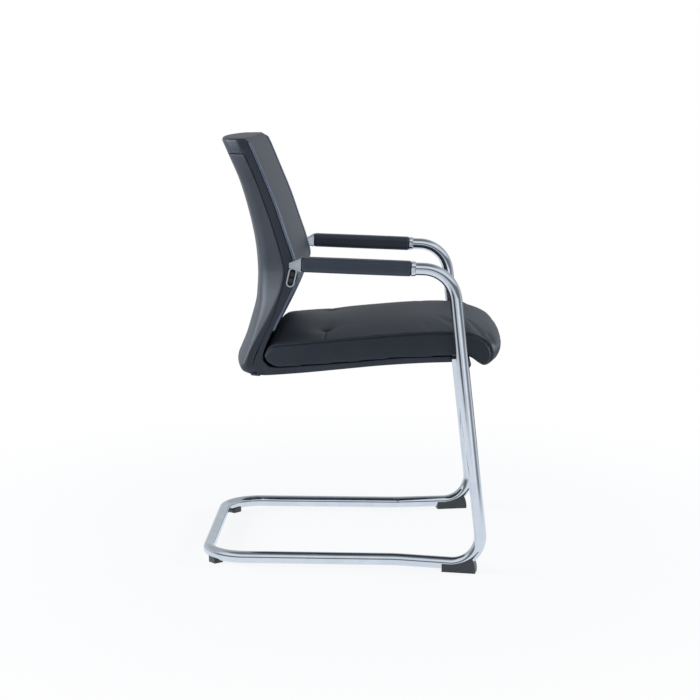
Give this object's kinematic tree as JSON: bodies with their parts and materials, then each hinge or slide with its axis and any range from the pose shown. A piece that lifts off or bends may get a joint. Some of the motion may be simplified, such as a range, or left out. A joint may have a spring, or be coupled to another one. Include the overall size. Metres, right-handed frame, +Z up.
{
  "type": "cantilever visitor chair",
  "caption": "Cantilever armchair: a bent chrome tube frame springs forward from a floor loop and carries a padded leather seat, a tall curved back and sleeved arm rests.",
  "frame": {"origin": "on the floor, under the middle of the chair's outer box", "axes": "+Z up from the floor, -Y is the front of the chair, +X towards the sitter's left"},
  "size_m": [0.576, 0.6279, 0.877],
  "materials": {
    "chrome_tube": "polished chrome plate",
    "chrome_trim": "polished chrome plate",
    "dark_steel": "satin black paint",
    "bolt_steel": "zinc plated",
    "shell": "matte dark",
    "wrapped_leather": "smooth charcoal leather over a hard core",
    "soft_leather": "smooth charcoal leather over foam",
    "glide_plastic": "matte"
  },
  "bodies": {
    "root": {"base_tube": "chrome_tube", "side_tube_right": "chrome_tube", "side_tube_left": "chrome_tube", "arm_collars": "chrome_trim", "arm_bracket_right": "chrome_trim", "arm_bracket_left": "chrome_trim", "seat_cross_tube": "dark_steel", "seat_strap_right": "dark_steel", "seat_strap_left": "dark_steel", "seat_screws": "bolt_steel", "bracket_bolts": "bolt_steel", "mount_block_right": "bolt_steel", "mount_block_left": "bolt_steel", "inner_shell": "shell", "back_outer_shell": "wrapped_leather", "back_top_cap": "wrapped_leather", "back_cushion": "soft_leather", "seat_cushion": "soft_leather", "arm_pad_right": "wrapped_leather", "arm_pad_left": "wrapped_leather", "front_glides": "glide_plastic", "rear_glides": "glide_plastic"}
  },
  "joints": []
}
